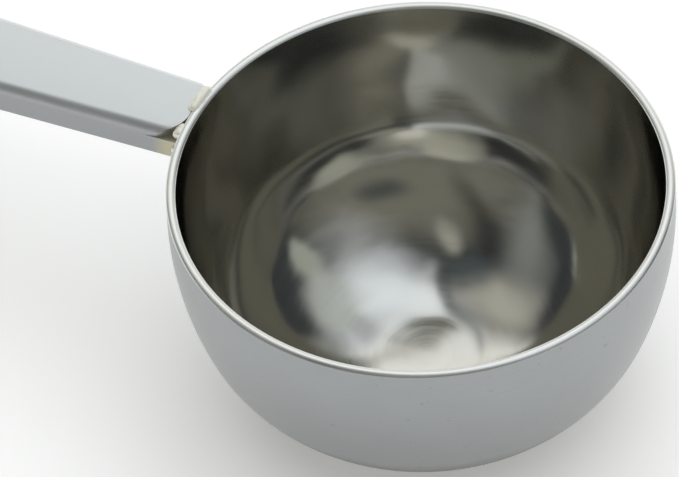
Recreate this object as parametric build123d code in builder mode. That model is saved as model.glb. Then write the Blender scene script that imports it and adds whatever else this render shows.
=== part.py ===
from build123d import *

import os
from math import asin, cos, degrees, radians, sin

# A measuring spoon: a pressed steel bowl and a folded channel handle, joined by four small welds
# +Z is up, the origin is the centre of the bowl's flat base and the handle runs towards -X

# Bowl: a drawn cup with a small flat base, a dished floor, a heel, a shoulder and a short straight wall
bowl_radius = 23.5
bowl_sheet = 0.9
base_radius = 4.0
dish_sweep = 30.0
wall_height = 2.6
shoulder_radius = 34.6
shoulder_sweep = 19.1
heel_radius = 13.8
rim_break = 0.14

# Handle: a tapered channel, open below, that droops a little from the rim's plane
handle_sheet = 0.9
handle_length = 118.0
neck_width = 7.7
tail_width = 15.0
tail_corner_radius = 6.6
channel_depth = 2.9
bend_radius = 1.15
droop = 3.0
rim_step = 0.1
near_nose_radius = 3.0
far_nose_radius = 2.2
tab_drop = 0.9

# Hanging hole near the tail
hole_radius = 2.6
hole_inset = 8.0

# Welds: two beads along the top of the joint, placed across the handle, and one at the end of each flange
root_gap = 0.05
top_bead_radius = 0.6
top_bead_start = -3.4
top_bead_end = 0.5
corner_bead_radius = 0.75
corner_bead_start = 1.3
corner_bead_end = 3.8
corner_bead_drop = 0.62
flange_bead_radius = 0.5
flange_bead_top = 1.45
flange_bead_bottom = 2.9
end_round_share = 0.9

# How far a cutting shape runs past what it cuts
overrun = 5.0

# Each arc runs on from the one below it; the dish's radius is what reaches from the base to the heel
heel_end = 90 - shoulder_sweep
heel_sweep = heel_end - dish_sweep
shoulder_inset = shoulder_radius * (1 - cos(radians(shoulder_sweep)))
heel_reach = heel_radius * (sin(radians(heel_end)) - sin(radians(dish_sweep)))
dish_reach = bowl_radius - shoulder_inset - heel_reach - base_radius
dish_radius = dish_reach / sin(radians(dish_sweep))
dish_rise = dish_radius * (1 - cos(radians(dish_sweep)))
heel_rise = heel_radius * (cos(radians(dish_sweep)) - cos(radians(heel_end)))
shoulder_rise = shoulder_radius * sin(radians(shoulder_sweep))
rim_height = dish_rise + heel_rise + shoulder_rise + wall_height

# The handle's top lies in this plane: its origin is on the bowl's wall and its x runs out to the tail
joint_plane = Plane(
    origin=(-bowl_radius, 0, rim_height - rim_step),
    x_dir=(-cos(radians(droop)), 0, -sin(radians(droop))),
    z_dir=(-sin(radians(droop)), 0, cos(radians(droop))),
)
joint_normal = Axis(joint_plane.origin, joint_plane.z_dir)


def wall_curve(inset):
    """Draws the bowl's profile from the axis to the rim, moved in by inset, and gives its two ends."""
    floor = Line((0, inset), (base_radius, inset))
    dish = JernArc(floor @ 1, (1, 0), dish_radius - inset, dish_sweep)
    heel = JernArc(dish @ 1, dish % 1, heel_radius - inset, heel_sweep)
    shoulder = JernArc(heel @ 1, heel % 1, shoulder_radius - inset, shoulder_sweep)
    wall = Line(shoulder @ 1, (bowl_radius - inset, rim_height))
    return floor @ 0, wall @ 1


with BuildPart() as bowl:
    with BuildSketch(Plane.XZ):
        with BuildLine():
            outer_start, outer_end = wall_curve(0)
            inner_start, inner_end = wall_curve(bowl_sheet)
            Line(outer_start, inner_start)
            Line(outer_end, inner_end)
        make_face()
    revolve(axis=Axis.Z)
    fillet(bowl.faces().sort_by(Axis.Z)[-1].edges(), rim_break)

# The space that the bowl takes, with the root gap round it, which trims the end of the handle
with BuildPart() as bowl_space:
    with BuildSketch(Plane.XZ):
        with BuildLine():
            space_start, space_end = wall_curve(-root_gap)
            Polyline(
                space_end,
                (space_end.X, rim_height + overrun),
                (0, rim_height + overrun),
                space_start,
            )
        make_face()
    revolve(axis=Axis.Z)

neck_half = neck_width / 2
start_half = neck_half - (tail_width / 2 - neck_half) * overrun / handle_length

with BuildPart() as handle:
    # A tapered tray, its long edges and tail edge bent down with one radius
    with BuildSketch(joint_plane) as plan:
        with BuildLine():
            Polyline(
                (-overrun, start_half),
                (handle_length, tail_width / 2),
                (handle_length, -tail_width / 2),
                (-overrun, -start_half),
                close=True,
            )
        make_face()
        fillet(plan.vertices().sort_by(Axis.X)[-2:], tail_corner_radius)
    extrude(amount=-channel_depth)
    top_edges = handle.faces().sort_by(joint_normal)[-1].edges()
    fillet(top_edges.sort_by(Axis.X)[:-1], bend_radius)
    open_faces = [handle.faces().sort_by(joint_normal)[0], handle.faces().sort_by(Axis.X)[-1]]
    offset(amount=-handle_sheet, openings=open_faces)
    # The top's corners are rounded where it meets the bowl, which leaves the flanges as tabs
    with BuildSketch(joint_plane):
        with Locations((near_nose_radius, neck_half - near_nose_radius)):
            near_size = near_nose_radius + overrun
            Rectangle(near_size, near_size, align=(Align.MAX, Align.MIN))
            Circle(near_nose_radius, mode=Mode.SUBTRACT)
        with Locations((far_nose_radius, far_nose_radius - neck_half)):
            far_size = far_nose_radius + overrun
            Rectangle(far_size, far_size, align=(Align.MAX, Align.MAX))
            Circle(far_nose_radius, mode=Mode.SUBTRACT)
    extrude(amount=-tab_drop, mode=Mode.SUBTRACT)
    with Locations(joint_plane):
        with Locations((handle_length - hole_inset, 0, 0)):
            Hole(hole_radius)
    add(bowl_space.part, mode=Mode.SUBTRACT)


seam_radius = bowl_radius + root_gap


def seam_plane(across, drop):
    """Gives the plane square to the bowl's wall line, across the handle and dropped below its top."""
    turn = asin(across / seam_radius)
    return Plane(
        origin=(-seam_radius * cos(turn), -across, rim_height - rim_step - drop),
        x_dir=(cos(turn), sin(turn), 0),
        z_dir=(sin(turn), -cos(turn), 0),
    )


def seam_sweep(start, end):
    """Gives the angle in degrees between two places across the handle, seen from the bowl's axis."""
    return degrees(asin(end / seam_radius) - asin(start / seam_radius))


with BuildPart() as weld_top:
    with BuildSketch(seam_plane(top_bead_start, 0)):
        Circle(top_bead_radius)
    revolve(axis=Axis.Z, revolution_arc=seam_sweep(top_bead_start, top_bead_end))
    fillet(weld_top.faces().filter_by(GeomType.PLANE).edges(), top_bead_radius * end_round_share)
    add(bowl.part, mode=Mode.SUBTRACT)
    add(handle.part, mode=Mode.SUBTRACT)

with BuildPart() as weld_corner:
    with BuildSketch(seam_plane(corner_bead_start, corner_bead_drop)):
        Circle(corner_bead_radius)
    revolve(axis=Axis.Z, revolution_arc=seam_sweep(corner_bead_start, corner_bead_end))
    corner_ends = weld_corner.faces().filter_by(GeomType.PLANE).edges()
    fillet(corner_ends, corner_bead_radius * end_round_share)
    add(bowl.part, mode=Mode.SUBTRACT)
    add(handle.part, mode=Mode.SUBTRACT)

# Each flange weld is a short upright bead in the corner between the flange's outside and the wall
flange_bead_length = flange_bead_bottom - flange_bead_top
flange_bead_middle = -(flange_bead_top + flange_bead_bottom) / 2

with BuildPart() as weld_flange_front:
    with Locations(joint_plane):
        with Locations((0, neck_half, flange_bead_middle)):
            Cylinder(flange_bead_radius, flange_bead_length)
    front_ends = weld_flange_front.faces().filter_by(GeomType.PLANE).edges()
    fillet(front_ends, flange_bead_radius * end_round_share)
    add(bowl.part, mode=Mode.SUBTRACT)
    add(handle.part, mode=Mode.SUBTRACT)

with BuildPart() as weld_flange_back:
    with Locations(joint_plane):
        with Locations((0, -neck_half, flange_bead_middle)):
            Cylinder(flange_bead_radius, flange_bead_length)
    back_ends = weld_flange_back.faces().filter_by(GeomType.PLANE).edges()
    fillet(back_ends, flange_bead_radius * end_round_share)
    add(bowl.part, mode=Mode.SUBTRACT)
    add(handle.part, mode=Mode.SUBTRACT)

bowl.part.label = "bowl"
handle.part.label = "handle"
weld_top.part.label = "weld_top"
weld_corner.part.label = "weld_corner"
weld_flange_front.part.label = "weld_flange_front"
weld_flange_back.part.label = "weld_flange_back"

os.makedirs("parts", exist_ok=True)
export_step(bowl.part, "parts/bowl.step")
export_step(handle.part, "parts/handle.step")
export_step(weld_top.part, "parts/weld_top.step")
export_step(weld_corner.part, "parts/weld_corner.step")
export_step(weld_flange_front.part, "parts/weld_flange_front.step")
export_step(weld_flange_back.part, "parts/weld_flange_back.step")
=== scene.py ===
import math

import bmesh
import bpy
from mathutils import Euler, Matrix, Vector, noise


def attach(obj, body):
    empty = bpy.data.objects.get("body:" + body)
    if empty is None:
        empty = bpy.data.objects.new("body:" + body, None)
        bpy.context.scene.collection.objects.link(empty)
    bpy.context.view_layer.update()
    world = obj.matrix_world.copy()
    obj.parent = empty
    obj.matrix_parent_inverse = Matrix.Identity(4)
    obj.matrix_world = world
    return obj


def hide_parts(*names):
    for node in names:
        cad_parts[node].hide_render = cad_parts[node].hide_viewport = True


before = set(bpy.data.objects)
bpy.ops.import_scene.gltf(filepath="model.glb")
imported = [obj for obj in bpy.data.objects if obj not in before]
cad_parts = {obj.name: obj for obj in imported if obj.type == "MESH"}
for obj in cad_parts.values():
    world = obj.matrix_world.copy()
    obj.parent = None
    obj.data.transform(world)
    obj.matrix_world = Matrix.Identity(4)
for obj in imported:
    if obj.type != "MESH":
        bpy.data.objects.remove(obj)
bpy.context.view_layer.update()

mm = 0.001


def addObject(name, bm):
    # turns a finished bmesh into a smooth-shaded object
    bmesh.ops.recalc_face_normals(bm, faces=bm.faces)
    mesh = bpy.data.meshes.new(name)
    bm.to_mesh(mesh)
    bm.free()
    obj = bpy.data.objects.new(name, mesh)
    bpy.context.collection.objects.link(obj)
    for poly in mesh.polygons:
        poly.use_smooth = True
    return obj


def applyModifiers(obj):
    dg = bpy.context.evaluated_depsgraph_get()
    mesh = bpy.data.meshes.new_from_object(obj.evaluated_get(dg))
    obj.modifiers.clear()
    obj.data = mesh
    return obj


# Camera: a long lens, 47 degrees above the rim, turned 28 degrees from the spoon's side

camera = {
    "place": (0.233706, -0.440093, 0.566449),
    "turn": (42.1926, 2.2397, 26.3893),
    "lens": 424.153,
}

camData = bpy.data.cameras.new("photoCamera")
camData.lens = camera["lens"]
camData.sensor_width = 36
camData.clip_start = 0.01
camData.clip_end = 20
cam = bpy.data.objects.new("photoCamera", camData)
bpy.context.collection.objects.link(cam)
cam.location = camera["place"]
cam.rotation_euler = Euler([math.radians(a) for a in camera["turn"]])
bpy.context.scene.camera = cam
print("camera done")


# Bowl: one profile turned round Z, polished inside, satin outside, with a flat ground rim

bowl = {
    "radius": 23.5 * mm,
    "sheet": 0.9 * mm,
    "baseRadius": 4.0 * mm,
    "dishSweep": 30.0,
    "wall": 2.6 * mm,
    "shoulderRadius": 34.6 * mm,
    "shoulderSweep": 19.1,
    "heelRadius": 13.8 * mm,
    "rimChamfer": 0.13 * mm,
    "turns": 256,
}

# the arcs run on from each other: flat base, dish, heel, shoulder, straight wall
heelEnd = 90 - bowl["shoulderSweep"]
sinHeel, cosHeel = math.sin(math.radians(heelEnd)), math.cos(math.radians(heelEnd))
sinDish, cosDish = math.sin(math.radians(bowl["dishSweep"])), math.cos(math.radians(bowl["dishSweep"]))
shoulderInset = bowl["shoulderRadius"] * (1 - sinHeel)
heelReach = bowl["heelRadius"] * (sinHeel - sinDish)
dishRadius = (bowl["radius"] - shoulderInset - heelReach - bowl["baseRadius"]) / sinDish
dishRise = dishRadius * (1 - cosDish)
heelRise = bowl["heelRadius"] * (cosDish - cosHeel)
rimHeight = dishRise + heelRise + bowl["shoulderRadius"] * cosHeel + bowl["wall"]


def bowlProfile(inset, baseSteps=3, dishSteps=22, heelSteps=28, shoulderSteps=16, wallSteps=4):
    # (radius, height) points from the middle of the base to the rim, moved in by inset
    points = [(bowl["baseRadius"] * i / baseSteps, inset) for i in range(baseSteps)]
    arcs = (
        (bowl["baseRadius"], dishRadius, dishRadius, 0, bowl["dishSweep"], dishSteps),
        (bowl["baseRadius"] + (dishRadius - bowl["heelRadius"]) * sinDish,
         dishRise + bowl["heelRadius"] * cosDish, bowl["heelRadius"], bowl["dishSweep"], heelEnd, heelSteps),
        (bowl["radius"] - bowl["shoulderRadius"], rimHeight - bowl["wall"],
         bowl["shoulderRadius"], heelEnd, 90, shoulderSteps),
    )
    for centreR, centreZ, radius, first, last, steps in arcs:
        for i in range(steps):
            turn = math.radians(first + (last - first) * i / steps)
            reach = radius - inset
            points.append((centreR + reach * math.sin(turn), centreZ - reach * math.cos(turn)))
    for i in range(wallSteps + 1):
        points.append((bowl["radius"] - inset, rimHeight - bowl["wall"] + bowl["wall"] * i / wallSteps))
    return points


def turnProfile(bm, points, turns):
    # spins a profile that starts on the axis; returns the rings
    rings = []
    for r, z in points:
        if r == 0:
            rings.append([bm.verts.new((0, 0, z))])
        else:
            ring = []
            for i in range(turns):
                a = 2 * math.pi * i / turns
                ring.append(bm.verts.new((r * math.cos(a), r * math.sin(a), z)))
            rings.append(ring)
    return rings


def skinRings(bm, rings, slots):
    for k in range(len(rings) - 1):
        low, high = rings[k], rings[k + 1]
        n = max(len(low), len(high))
        for i in range(n):
            j = (i + 1) % n
            if len(low) == 1:
                face = bm.faces.new((low[0], high[i], high[j]))
            elif len(high) == 1:
                face = bm.faces.new((low[i], high[0], low[j]))
            else:
                face = bm.faces.new((low[i], high[i], high[j], low[j]))
            face.material_index = slots[k]


def makeBowl():
    c = bowl["rimChamfer"]
    outer = bowlProfile(0)
    inner = bowlProfile(bowl["sheet"])
    outer[-1] = (outer[-1][0], rimHeight - c)
    inner[-1] = (inner[-1][0], rimHeight - c)
    rim = [(outer[-1][0] - c, rimHeight), (inner[-1][0] + c, rimHeight)]
    points = outer + rim + inner[::-1]
    slots = [0] * (len(outer) - 1) + [1] * 3 + [2] * (len(inner) - 1)
    bm = bmesh.new()
    skinRings(bm, turnProfile(bm, points, bowl["turns"]), slots)
    for edge in bm.edges:
        # crisp only where two finishes meet, at the rim's outer and inner edge
        edge.smooth = len({face.material_index for face in edge.link_faces}) == 1
    return addObject("bowlShell", bm)


bowlShell = makeBowl()
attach(bowlShell, "root")
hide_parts("bowl")
print("bowl done")


# Handle: sheet folded down along both sides and round the tail, open below

handle = {
    "length": 118.0 * mm,
    "neckWidth": 7.7 * mm,
    "tailWidth": 15.0 * mm,
    "tailCorner": 6.6 * mm,
    "depth": 2.9 * mm,
    "sheet": 0.9 * mm,
    "bend": 1.15 * mm,
    "droop": 3.0,
    "rimStep": 0.1 * mm,
    "rootGap": 0.03 * mm,
    "noseNear": 3.0 * mm,
    "noseFar": 2.2 * mm,
    "tabDrop": 0.9 * mm,
    "holeRadius": 2.6 * mm,
    "holeInset": 8.0 * mm,
    "edgeBreak": 0.07 * mm,
    "runIn": 3.0 * mm,  # how far the sheet starts inside the bowl before it is trimmed
    "lipShare": 0.7,  # of the depth, where the flange's lowest row of faces starts
    "sideSteps": 60,
    "cornerSteps": 28,
}

cutting = {
    "reach": 5.0 * mm,
    "above": 1.0 * mm,
    "beside": 2.0 * mm,
    "clear": 0.02 * mm,
    "holeDepth": 6.0 * mm,
}

# the handle's own frame: x out to the tail, y to the near side, z up from its top
droop = math.radians(handle["droop"])
handleFrame = Matrix((
    (-math.cos(droop), 0, -math.sin(droop), -bowl["radius"]),
    (0, -1, 0, 0),
    (-math.sin(droop), 0, math.cos(droop), rimHeight - handle["rimStep"]),
    (0, 0, 0, 1),
))


def handleOutline():
    # plan of the folded handle's outside, near side first, round the tail and back
    x0 = -handle["runIn"]
    slope = (handle["tailWidth"] - handle["neckWidth"]) / 2 / handle["length"]
    w0 = handle["neckWidth"] / 2 + slope * x0
    w1 = handle["tailWidth"] / 2
    r = handle["tailCorner"]
    tilt = math.atan(slope)
    # the corner arc touches the tapered side and the square tail
    cx = handle["length"] - r
    cy = w1 - r * (1 + math.sin(tilt)) / math.cos(tilt)
    half = []
    steps = handle["sideSteps"]
    startArc = (cx - r * math.sin(tilt), cy + r * math.cos(tilt))
    sideways = (-math.sin(tilt), math.cos(tilt))
    for i in range(steps):
        t = i / steps
        half.append((x0 + (startArc[0] - x0) * t, w0 + (startArc[1] - w0) * t, sideways))
    arc = handle["cornerSteps"]
    for i in range(arc + 1):
        a = math.pi / 2 + tilt - (math.pi / 2 + tilt) * i / arc
        half.append((cx + r * math.cos(a), cy + r * math.sin(a), (math.cos(a), math.sin(a))))
    return half


def makeHandle():
    bend, sheet, depth = handle["bend"], handle["sheet"], handle["depth"]
    lip = -depth * handle["lipShare"]
    section = [(0, -depth), (0, lip)]
    for i in range(13):
        a = math.pi / 2 * i / 12
        section.append((bend * (1 - math.cos(a)), -bend * (1 - math.sin(a))))
    inside = []
    for i in range(9):
        a = math.pi / 2 * (1 - i / 8)
        inside.append((bend - (bend - sheet) * math.cos(a), -bend + (bend - sheet) * math.sin(a)))
    inside += [(sheet, lip), (sheet, -depth)]
    bm = bmesh.new()
    outline = handleOutline()
    rows = {}
    for side in (1, -1):
        for k, (x, y, (nx, ny)) in enumerate(outline):
            if side < 0 and y < 1e-6:
                continue
            rows[side, k] = [bm.verts.new((x - d * nx, side * (y - d * ny), z)) for d, z in section + inside]
    last = len(outline) - 1

    def skin(a, b, flip):
        n = len(a)
        for i in range(n):
            j = (i + 1) % n
            if i == len(section) - 1:
                continue  # the flat top and its underside are filled across
            quad = (a[i], b[i], b[j], a[j])
            bm.faces.new(quad[::-1] if flip else quad)

    for k in range(last):
        skin(rows[1, k], rows[1, k + 1], False)
        skin(rows[-1, k], rows[-1, k + 1], True)
    skin(rows[1, last], rows[-1, last], False)
    top, under = len(section) - 1, len(section)
    for k in range(last):
        for i, flip in ((top, False), (under, True)):
            quad = (rows[1, k][i], rows[1, k + 1][i], rows[-1, k + 1][i], rows[-1, k][i])
            bm.faces.new(quad[::-1] if flip else quad)
    # close the open end beside the bowl: two flanges and the top's end
    a, b = rows[1, 0], rows[-1, 0]
    bm.faces.new([a[i] for i in range(top + 1)] + [b[i] for i in range(top, -1, -1)]
                 + [b[i] for i in range(len(b) - 1, under - 1, -1)] + [a[i] for i in range(under, len(a))])
    bm.transform(handleFrame)
    return addObject("handleChannel", bm)


def makeBowlCutter():
    points = bowlProfile(-handle["rootGap"])
    points.append((points[-1][0], rimHeight + cutting["reach"]))
    points.append((0, rimHeight + cutting["reach"]))
    bm = bmesh.new()
    skinRings(bm, turnProfile(bm, points, 192), [0] * (len(points) - 1))
    return addObject("bowlCutter", bm)


def makeNoseCutter():
    # the two corners cut off the top's end, down to the flanges' own top edge
    bm = bmesh.new()
    low, high = -handle["tabDrop"], cutting["above"]
    far = -cutting["reach"]
    for side, r in ((1, handle["noseNear"]), (-1, handle["noseFar"])):
        edge = handle["neckWidth"] / 2 + cutting["clear"]
        corner = [(far, edge + cutting["beside"]), (r, edge + cutting["beside"]), (r, edge)]
        for i in range(1, 17):
            a = math.pi / 2 * i / 16
            corner.append((r - r * math.sin(a), edge - r + r * math.cos(a)))
        corner.append((far, edge - r))
        lower = [bm.verts.new((x, side * y, low)) for x, y in corner]
        upper = [bm.verts.new((x, side * y, high)) for x, y in corner]
        bm.faces.new(lower)
        bm.faces.new(upper[::-1])
        for i in range(len(corner)):
            j = (i + 1) % len(corner)
            bm.faces.new((lower[i], upper[i], upper[j], lower[j]))
    bm.transform(handleFrame)
    return addObject("noseCutter", bm)


def makeHoleCutter():
    bm = bmesh.new()
    place = Matrix.Translation((handle["length"] - handle["holeInset"], 0, 0))
    bmesh.ops.create_cone(bm, cap_ends=True, segments=64, radius1=handle["holeRadius"],
                          radius2=handle["holeRadius"], depth=cutting["holeDepth"],
                          matrix=handleFrame @ place)
    return addObject("holeCutter", bm)


handleChannel = makeHandle()
for cutter in (makeBowlCutter(), makeNoseCutter(), makeHoleCutter()):
    cut = handleChannel.modifiers.new("cut", "BOOLEAN")
    cut.operation = "DIFFERENCE"
    cut.solver = "EXACT"
    cut.object = cutter
    applyModifiers(handleChannel)
    bpy.data.objects.remove(cutter)
bevel = handleChannel.modifiers.new("edgeBreak", "BEVEL")
bevel.width = handle["edgeBreak"]
bevel.segments = 2
bevel.limit_method = "ANGLE"
bevel.angle_limit = math.radians(40)
bevel.harden_normals = True
applyModifiers(handleChannel)
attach(handleChannel, "root")
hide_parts("handle")
print("handle done", len(handleChannel.data.polygons))


# Welds: hand-laid beads, a little uneven, with rounded ends; places and radii are in mm

welds = {
    "top": {"from": -3.1, "to": 0.35, "drop": 0.0, "radius": 0.55, "ripple": 0.45, "seed": 3},
    "corner": {"from": 1.8, "to": 3.5, "drop": 0.5, "radius": 0.72, "ripple": 0.5, "seed": 8},
    "flange": {"from": 1.35, "length": 1.65, "inset": 0.05, "radius": 0.5, "ripple": 0.5, "seed": 5},
}
beadShape = {"seamGap": 0.05 * mm, "swell": 0.07, "fineSwell": 0.02, "flatten": 0.72, "around": 28}


def beadMesh(name, path, radius, ripple, seed):
    # path: list of points; the bead swells and narrows along it
    bm = bmesh.new()
    rings = []
    n, around = len(path), beadShape["around"]
    for k, point in enumerate(path):
        t = k / (n - 1)
        along = (path[min(k + 1, n - 1)] - path[max(k - 1, 0)]).normalized()
        side = along.cross(Vector((0, 0, 1))).normalized() if abs(along.z) < 0.9 else Vector((1, 0, 0))
        up = side.cross(along)
        cap = math.sqrt(max(0.0, 1 - abs(2 * t - 1) ** 6))
        if k in (0, n - 1):
            rings.append([bm.verts.new(point)])
            continue
        ring = []
        for i in range(around):
            a = 2 * math.pi * i / around
            out = side * math.cos(a) + up * math.sin(a)
            where = (point + out * radius) / (ripple * mm) + Vector((seed, seed * 2, 0))
            coarse = beadShape["swell"] * noise.noise(where)
            swell = 1 + coarse + beadShape["fineSwell"] * noise.noise(where * 2.3)
            # beads that lie along the seam are flattened, upright ones stay round
            squash = beadShape["flatten"] if abs(along.z) < 0.9 else 1.0
            shape = side * math.cos(a) + up * math.sin(a) * squash
            ring.append(bm.verts.new(point + shape * radius * cap * swell))
        rings.append(ring)
    skinRings(bm, rings, [0] * (len(rings) - 1))
    return addObject(name, bm)


def seamPoint(across, drop):
    # a place on the bowl's wall line, across the handle (mm) and dropped below its top
    r = bowl["radius"] + beadShape["seamGap"]
    turn = math.asin(across * mm / r)
    return Vector((-r * math.cos(turn), -across * mm, rimHeight - handle["rimStep"] - drop * mm))


beads = []
for key, node in (("top", "weld_top"), ("corner", "weld_corner")):
    w = welds[key]
    steps = 40
    path = [seamPoint(w["from"] + (w["to"] - w["from"]) * i / steps, w["drop"]) for i in range(steps + 1)]
    bead = beadMesh("weldBead" + key.capitalize(), path, w["radius"] * mm, w["ripple"], w["seed"])
    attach(bead, "root")
    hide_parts(node)
    beads.append(bead)
w = welds["flange"]
for side, node in ((1, "weld_flange_front"), (-1, "weld_flange_back")):
    path = []
    for i in range(25):
        z = -w["from"] - w["length"] * i / 24
        path.append(handleFrame @ Vector((0.0, side * (handle["neckWidth"] / 2 - w["inset"] * mm), z * mm)))
    name = "weldBead" + ("Front" if side > 0 else "Back")
    bead = beadMesh(name, path, w["radius"] * mm, w["ripple"], w["seed"] + side)
    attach(bead, "root")
    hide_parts(node)
    beads.append(bead)
print("welds done")


# Steel finishes: all are one kind of steel, and their lightness was set against the photo

# painted light and shade: these are one steel; the rim's near-white colour is painted light and the outside's
# dark grey is painted shade
steel = {
    # outside: the under colour is painted shade towards the foot, for the floor's shadow mirrored in the steel
    "outside": {"colour": (0.355, 0.366, 0.373), "under": (0.13, 0.135, 0.12), "speck": 0.16, "rough": 0.31,
                "grain": 5200, "along": 260, "fine": 0.11, "bump": 0.05},
    "inside": {"colour": (0.64, 0.63, 0.595), "rough": 0.11, "grain": 2600, "along": 160,
               "fine": 0.05, "bump": 0.02,
               "waveScale": 95.0, "waveDepth": 5.5},
    "rim": {"colour": (0.97, 0.97, 0.965), "rough": 0.3, "grain": 9000, "along": 90,
            "fine": 0.16, "bump": 0.08},
    # handle: the pale top colour and the darker side colour are painted light and shade on one steel
    "handle": {"colour": (0.90, 0.925, 0.96), "side": (0.36, 0.37, 0.38), "rough": 0.44, "grain": 4200,
               "along": 300, "fine": 0.05, "bump": 0.05},
    "weld": {"colour": (0.93, 0.91, 0.82), "metal": 0.65, "rough": 0.45, "grain": 600, "along": 900,
             "fine": 0.25, "bump": 0.35},
    "tint": {"colour": (0.52, 0.49, 0.36), "reach": 2.9 * mm, "edge": 1.5 * mm, "drop": 2.0 * mm},
}
mottle = {"scale": 210.0, "shade": 0.08, "rough": 0.06, "fineRough": 0.08, "bumpDepth": 0.05 * mm}
# the band of painted shade towards the bowl's foot: where it fades in and how uneven its edge is
paintedFootShade = {"low": 6.2 * mm, "high": 9.6 * mm, "edge": 1.2 * mm}


class Nodes:
    # small helper for wiring a node tree
    def __init__(self, tree):
        self.tree = tree

    def add(self, kind, **settings):
        node = self.tree.nodes.new(kind)
        for key, value in settings.items():
            setattr(node, key, value)
        return node

    def link(self, source, target):
        self.tree.links.new(source, target)

    def math(self, operation, a, b=None):
        node = self.add("ShaderNodeMath", operation=operation)
        for socket, value in zip(node.inputs, (a, b)):
            if value is None:
                continue
            if isinstance(value, (int, float)):
                socket.default_value = value
            else:
                self.link(value, socket)
        return node.outputs[0]

    def mixColour(self, factor, a, b):
        node = self.add("ShaderNodeMix", data_type="RGBA")
        for socket, value in ((node.inputs[0], factor), (node.inputs[6], a), (node.inputs[7], b)):
            if isinstance(value, (int, float)):
                socket.default_value = value
            elif isinstance(value, tuple):
                socket.default_value = (*value, 1)
            else:
                self.link(value, socket)
        return node.outputs[2]

    def ramp(self, value, low, high, outLow=0.0, outHigh=1.0):
        node = self.add("ShaderNodeMapRange", interpolation_type="SMOOTHSTEP")
        self.link(value, node.inputs[0])
        for i, v in enumerate((low, high, outLow, outHigh), start=1):
            node.inputs[i].default_value = v
        return node.outputs[0]

    def noise(self, vector, scale, detail=3.0, rough=0.55):
        node = self.add("ShaderNodeTexNoise")
        self.link(vector, node.inputs["Vector"])
        node.inputs["Scale"].default_value = scale
        node.inputs["Detail"].default_value = detail
        node.inputs["Roughness"].default_value = rough
        return node.outputs["Fac"]


def grainVector(n, finish, lathe):
    # coordinates stretched along the grain: round the bowl where lathe is set, along the handle where not
    coord = n.add("ShaderNodeTexCoord")
    split = n.add("ShaderNodeSeparateXYZ")
    n.link(coord.outputs["Object"], split.inputs[0])
    x, y, z = split.outputs
    join = n.add("ShaderNodeCombineXYZ")
    if lathe:
        radius = n.math("SQRT", n.math("ADD", n.math("MULTIPLY", x, x), n.math("MULTIPLY", y, y)))
        n.link(n.math("MULTIPLY", x, finish["along"]), join.inputs[0])
        n.link(n.math("MULTIPLY", y, finish["along"]), join.inputs[1])
        n.link(n.math("MULTIPLY", n.math("ADD", radius, z), finish["grain"]), join.inputs[2])
    else:
        n.link(n.math("MULTIPLY", x, finish["along"]), join.inputs[0])
        n.link(n.math("MULTIPLY", y, finish["grain"]), join.inputs[1])
        n.link(n.math("MULTIPLY", z, finish["grain"]), join.inputs[2])
    return coord.outputs["Object"], join.outputs[0]


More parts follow.
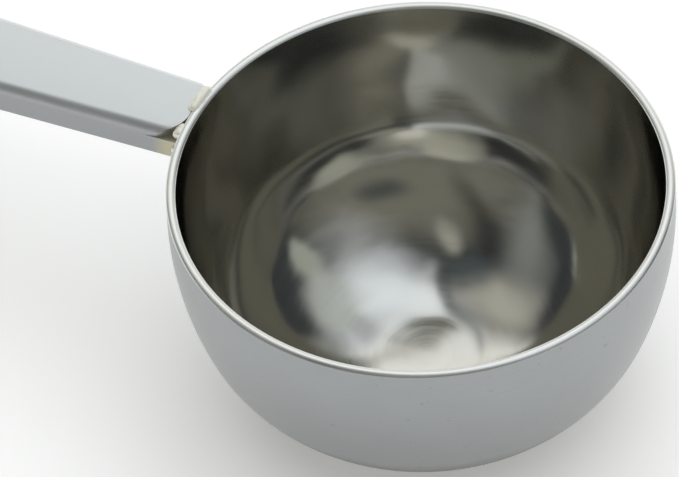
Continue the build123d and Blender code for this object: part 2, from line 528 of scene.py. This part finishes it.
def steelMaterial(name, finish, lathe=True, tint=False):
    mat = bpy.data.materials.new(name)
    mat.use_nodes = True
    n = Nodes(mat.node_tree)
    shader = mat.node_tree.nodes["Principled BSDF"]
    shader.inputs["Metallic"].default_value = finish.get("metal", 1.0)
    plain, grain = grainVector(n, finish, lathe)
    fine = n.noise(grain, 1.0, 2.0)
    cloud = n.noise(plain, mottle["scale"])
    colour = finish["colour"]
    base = colour
    if "side" in finish:
        # painted shade: the sides are coloured darker than the top, a shaded copy of the same steel, so that
        # they come out grey
        face = n.add("ShaderNodeNewGeometry")
        up = n.add("ShaderNodeSeparateXYZ")
        n.link(face.outputs["Normal"], up.inputs[0])
        base = n.mixColour(n.ramp(up.outputs[2], 0.25, 0.97), finish["side"], colour)
    if "under" in finish:
        # painted shade: darkened towards the foot for a dark band that stands in for the floor's shadow
        # mirrored in the steel; the steel there is no darker
        low = n.add("ShaderNodeSeparateXYZ")
        n.link(plain, low.inputs[0])
        uneven = n.math("MULTIPLY", n.math("SUBTRACT", cloud, 0.5), paintedFootShade["edge"])
        edge = n.math("ADD", low.outputs[2], uneven)
        base = n.mixColour(n.ramp(edge, paintedFootShade["low"], paintedFootShade["high"]), finish["under"], colour)
    if tint:
        # straw heat tint at the near flange's end
        heat = steel["tint"]
        gap = n.add("ShaderNodeVectorMath", operation="DISTANCE")
        n.link(plain, gap.inputs[0])
        gap.inputs[1].default_value = handleFrame @ Vector((0, handle["neckWidth"] / 2, -heat["drop"]))
        uneven = n.math("MULTIPLY", n.math("SUBTRACT", cloud, 0.5), heat["edge"])
        edge = n.math("ADD", gap.outputs["Value"], uneven)
        base = n.mixColour(n.ramp(edge, heat["reach"], heat["reach"] * 0.3), base, heat["colour"])
    shade = n.math("ADD", n.math("MULTIPLY", fine, finish["fine"]), n.math("MULTIPLY", cloud, mottle["shade"]))
    level = n.math("ADD", shade, 1.0 - finish["fine"] / 2 - mottle["shade"] / 2)
    if "speck" in finish:
        # a few tiny dark pits
        spots = n.ramp(n.noise(plain, 1500.0, 1.0), 0.72, 0.78, 0.0, finish["speck"])
        level = n.math("SUBTRACT", level, spots)
    tone = n.add("ShaderNodeVectorMath", operation="SCALE")
    if isinstance(base, tuple):
        tone.inputs[0].default_value = base
    else:
        n.link(base, tone.inputs[0])
    n.link(level, tone.inputs["Scale"])
    n.link(tone.outputs[0], shader.inputs["Base Color"])
    fineRough = n.math("MULTIPLY", fine, mottle["fineRough"])
    rough = n.math("ADD", fineRough, n.math("MULTIPLY", cloud, mottle["rough"]))
    middle = (mottle["fineRough"] + mottle["rough"]) / 2
    n.link(n.math("ADD", rough, finish["rough"] - middle), shader.inputs["Roughness"])
    height = n.math("MULTIPLY", fine, finish["bump"])
    if "waveScale" in finish:
        # hand-polished waviness
        wave = n.math("MULTIPLY", n.noise(plain, finish["waveScale"], 1.0), finish["waveDepth"])
        height = n.math("ADD", height, wave)
    bump = n.add("ShaderNodeBump")
    bump.inputs["Strength"].default_value = 1.0
    bump.inputs["Distance"].default_value = mottle["bumpDepth"]
    n.link(height, bump.inputs["Height"])
    n.link(bump.outputs[0], shader.inputs["Normal"])
    return mat


for mat in (steelMaterial("bowlSatin", steel["outside"]), steelMaterial("rimGround", steel["rim"]),
            steelMaterial("bowlPolished", steel["inside"])):
    bowlShell.data.materials.append(mat)
handleChannel.data.materials.clear()
handleChannel.data.materials.append(steelMaterial("handleSatin", steel["handle"], lathe=False, tint=True))
weldMaterial = steelMaterial("weldStraw", steel["weld"], lathe=False)
for bead in beads:
    bead.data.materials.append(weldMaterial)
print("materials done")


# Studio: white paper floor and a soft tent whose panels show in the polished bowl

studio = {
    "floor": (0.9, 0.9, 0.9),
    "floorSize": 4.0,
    "floorDrop": 0.0002,
    "floorGlow": 0.27,
    "lamp": 12.5,
    "lampSize": 2.2,
    "lampPlace": (0.35, 0.25, 1.1),  # right, away from the camera, up
    "tent": (0.06, 0.066, 0.07),
    "tentShade": (0.035, 0.04, 0.042),
    "tentNoise": 0.09,
    "patchEdge": 0.5,
    "horizonRange": (64, 82),
    "horizon": (1.0, 1.0, 1.0),
    # patches of the tent, in degrees from straight up: right, away from the camera, half length, half width,
    # turn from the right, softness, how much it covers, colour
    # These rows aren't hand-set: a search by another script fitted all but the last to the photo's inside of
    # the bowl, and the last was worked out from traced reflections. They were then rounded, and some colours
    # were changed.
    "patches": [
        (16, 56, 56, 17, 5, 0.6, 0.97, (0.70, 0.72, 0.64)),
        (5, -41, 70, 40, 2, 0.6, 1.0, (0.21, 0.21, 0.175)),
        (-36, 1, 39, 9.7, 63, 0.9, 0.63, (0.38, 0.40, 0.38)),
        (-18, 26, 14, 13, 33, 0.65, 0.97, (0.55, 0.55, 0.49)),
        (0, 27, 21, 6, 80, 0.57, 1.0, (1.2, 1.24, 1.26)),
        (11, 23, 25, 15.5, -73, 0.8, 1.0, (1.05, 1.13, 1.2)),
        (41, 4, 16.5, 7, -44, 0.46, 0.63, (0.63, 0.68, 0.60)),
        (12, 31, 4, 12.5, 49, 0.57, 1.0, (0.52, 0.55, 0.58)),
        (-7, 4, 12, 3.7, 89, 0.37, 1.0, (0.05, 0.06, 0.06)),
        (-8, -6, 9, 3, 95, 0.9, 0.78, (0.62, 0.62, 0.54)),
        (-22, -18, 39, 7, 94, 0.9, 0.58, (0.01, 0.01, 0.01)),
        (18, -41, 13.5, 8.5, 0, 0.9, 0.79, (0.05, 0.06, 0.065)),
        (-10, 13, 13, 9.5, 30, 0.55, 0.71, (0.09, 0.11, 0.12)),
        (24, -7, 15, 24, 36, 0.9, 0.49, (0.57, 0.59, 0.61)),
        (-6, 46, 20, 9, 8, 0.5, 0.9, (1.2, 1.21, 1.16)),
        (-58, 25, 33.5, 8.5, 66, 0.6, 0.85, (0.72, 0.76, 0.68)),
        (24, 23, 9.5, 17, 41, 0.46, 0.85, (0.58, 0.62, 0.60)),
        (-5, 16, 26, 2.4, 89, 0.5, 0.85, (0.07, 0.075, 0.075)),
    ],
}

floorMesh = bpy.data.meshes.new("studioFloor")
bm = bmesh.new()
bmesh.ops.create_grid(bm, x_segments=2, y_segments=2, size=studio["floorSize"])
bm.to_mesh(floorMesh)
bm.free()
floor = bpy.data.objects.new("studioFloor", floorMesh)
floor.location = (0, 0, -studio["floorDrop"])
bpy.context.collection.objects.link(floor)
floorMat = bpy.data.materials.new("floorPaper")
floorMat.use_nodes = True
n = Nodes(floorMat.node_tree)
floorMat.node_tree.nodes.clear()
paper = n.add("ShaderNodeBsdfDiffuse")
paper.inputs["Color"].default_value = (*studio["floor"], 1)
glow = n.add("ShaderNodeEmission")
rays = n.add("ShaderNodeLightPath")
seen = n.math("MAXIMUM", rays.outputs["Is Camera Ray"],
              n.math("MAXIMUM", rays.outputs["Is Glossy Ray"], rays.outputs["Is Transmission Ray"]))
n.link(n.math("MULTIPLY", seen, studio["floorGlow"]), glow.inputs["Strength"])
both = n.add("ShaderNodeAddShader")
n.link(paper.outputs[0], both.inputs[0])
n.link(glow.outputs[0], both.inputs[1])
n.link(both.outputs[0], n.add("ShaderNodeOutputMaterial").inputs["Surface"])
floorMesh.materials.append(floorMat)

# the camera stands at azimuth -62 degrees, so straight behind is its opposite
viewTurn = math.radians(27.97)
toRight = Vector((math.cos(viewTurn), math.sin(viewTurn), 0))
toBack = Vector((-math.sin(viewTurn), math.cos(viewTurn), 0))
world = bpy.data.worlds.new("studio")
bpy.context.scene.world = world
world.use_nodes = True
n = Nodes(world.node_tree)
way = n.add("ShaderNodeTexCoord").outputs["Generated"]


def dotWith(direction):
    node = n.add("ShaderNodeVectorMath", operation="DOT_PRODUCT")
    n.link(way, node.inputs[0])
    node.inputs[1].default_value = direction
    return node.outputs["Value"]


# the tent laid flat: degrees from straight up, to the right and away from the camera
upward = dotWith((0, 0, 1))
fromTop = n.math("DEGREES", n.math("ARCCOSINE", upward))
level = n.math("SQRT", n.math("MAXIMUM", n.math("SUBTRACT", 1.0, n.math("MULTIPLY", upward, upward)), 1e-8))
spread = n.math("DIVIDE", fromTop, level)
flat = n.add("ShaderNodeCombineXYZ")
n.link(n.math("MULTIPLY", dotWith(toRight), spread), flat.inputs[0])
n.link(n.math("MULTIPLY", dotWith(toBack), spread), flat.inputs[1])
ripple = n.noise(flat.outputs[0], studio["tentNoise"])
light = n.mixColour(ripple, studio["tentShade"], studio["tent"])
for right, away, length, width, turn, soft, cover, colour in studio["patches"]:
    place = n.add("ShaderNodeMapping", vector_type="TEXTURE")
    n.link(flat.outputs[0], place.inputs["Vector"])
    place.inputs["Location"].default_value = (right, away, 0)
    place.inputs["Rotation"].default_value = (0, 0, math.radians(turn))
    place.inputs["Scale"].default_value = (length, width, 1)
    reach = n.add("ShaderNodeVectorMath", operation="LENGTH")
    n.link(place.outputs[0], reach.inputs[0])
    # a little noise keeps the patches' edges from looking drawn
    uneven = n.math("MULTIPLY", n.math("SUBTRACT", ripple, 0.5), studio["patchEdge"])
    rim = n.math("ADD", reach.outputs["Value"], uneven)
    light = n.mixColour(n.ramp(rim, 1 + soft / 2, 1 - soft, 0.0, cover), light, colour)
light = n.mixColour(n.ramp(fromTop, *studio["horizonRange"]), light, studio["horizon"])
n.link(light, world.node_tree.nodes["Background"].inputs["Color"])
world.node_tree.nodes["Background"].inputs["Strength"].default_value = 1.0

lampData = bpy.data.lights.new("overheadSoft", "AREA")
lampData.shape = "DISK"
lampData.size = studio["lampSize"]
lampData.energy = studio["lamp"]
lamp = bpy.data.objects.new("overheadSoft", lampData)
lampRight, lampBack, lampUp = studio["lampPlace"]
lamp.location = toRight * lampRight + toBack * lampBack + Vector((0, 0, lampUp))
lamp.visible_glossy = False  # the tent's panels are what the steel shows
bpy.context.collection.objects.link(lamp)
print("studio done")

scene = bpy.context.scene
scene.view_settings.view_transform = "Standard"
